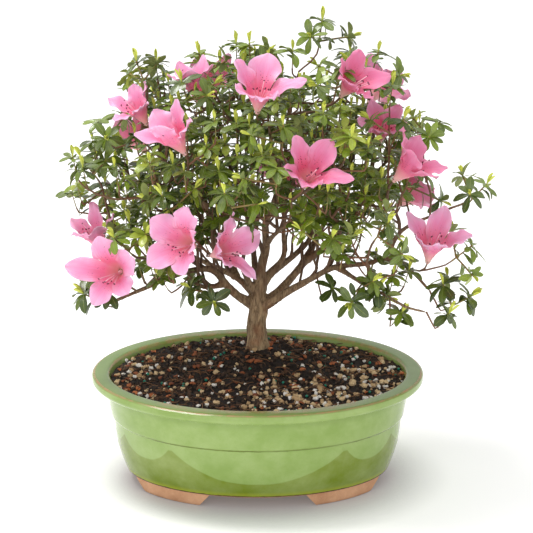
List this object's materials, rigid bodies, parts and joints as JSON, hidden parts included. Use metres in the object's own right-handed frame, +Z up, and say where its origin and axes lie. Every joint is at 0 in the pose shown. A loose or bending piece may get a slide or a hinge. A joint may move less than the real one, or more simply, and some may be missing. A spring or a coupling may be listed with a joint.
{
  "type": "satsuki azalea bonsai in an oval pot",
  "caption": "Small flowering azalea tree with a spreading crown of leaf whorls and open pink blooms, rooted in dark soil in a low oval pot with green glaze and bare clay feet.",
  "frame": {"origin": "on the ground, under the centre of the whole plant's box", "axes": "+Z up, +X to the right along the pot's length and -Y towards the viewer"},
  "size_m": [0.399, 0.2868, 0.4289],
  "materials": {
    "pot_glaze": "gloss",
    "soil": "matte",
    "screen_plastic": "matte",
    "bark": "matte",
    "foliage": "satin",
    "petals": "matte"
  },
  "bodies": {
    "root": {"pot": "pot_glaze", "soil": "soil", "tree": "bark", "drain_screen_left": "screen_plastic", "drain_screen_right": "screen_plastic", "bloom_01": "petals", "bloom_02": "petals", "bloom_03": "petals", "bloom_04": "petals", "bloom_05": "petals", "bloom_06": "petals", "bloom_07": "petals", "bloom_08": "petals", "bloom_09": "petals", "bloom_10": "petals", "bloom_11": "petals", "bloom_12": "petals", "bloom_13": "petals", "bloom_14": "petals", "bloom_15": "petals", "bloom_16": "petals", "bloom_17": "petals", "bloom_18": "petals", "spray_01": "foliage", "spray_02": "foliage", "spray_03": "foliage", "spray_04": "foliage", "spray_05": "foliage", "spray_06": "foliage", "spray_07": "foliage", "spray_08": "foliage", "spray_09": "foliage", "spray_10": "foliage", "spray_11": "foliage", "spray_12": "foliage", "spray_13": "foliage", "spray_14": "foliage", "spray_15": "foliage", "spray_16": "foliage", "spray_17": "foliage", "spray_18": "foliage", "spray_19": "foliage", "spray_20": "foliage", "spray_21": "foliage", "spray_22": "foliage", "spray_23": "foliage", "spray_24": "foliage", "spray_25": "foliage", "spray_26": "foliage", "spray_27": "foliage", "spray_28": "foliage", "spray_29": "foliage", "spray_30": "foliage", "spray_31": "foliage", "spray_32": "foliage", "spray_33": "foliage", "spray_34": "foliage", "spray_35": "foliage", "spray_36": "foliage"}
  },
  "joints": []
}
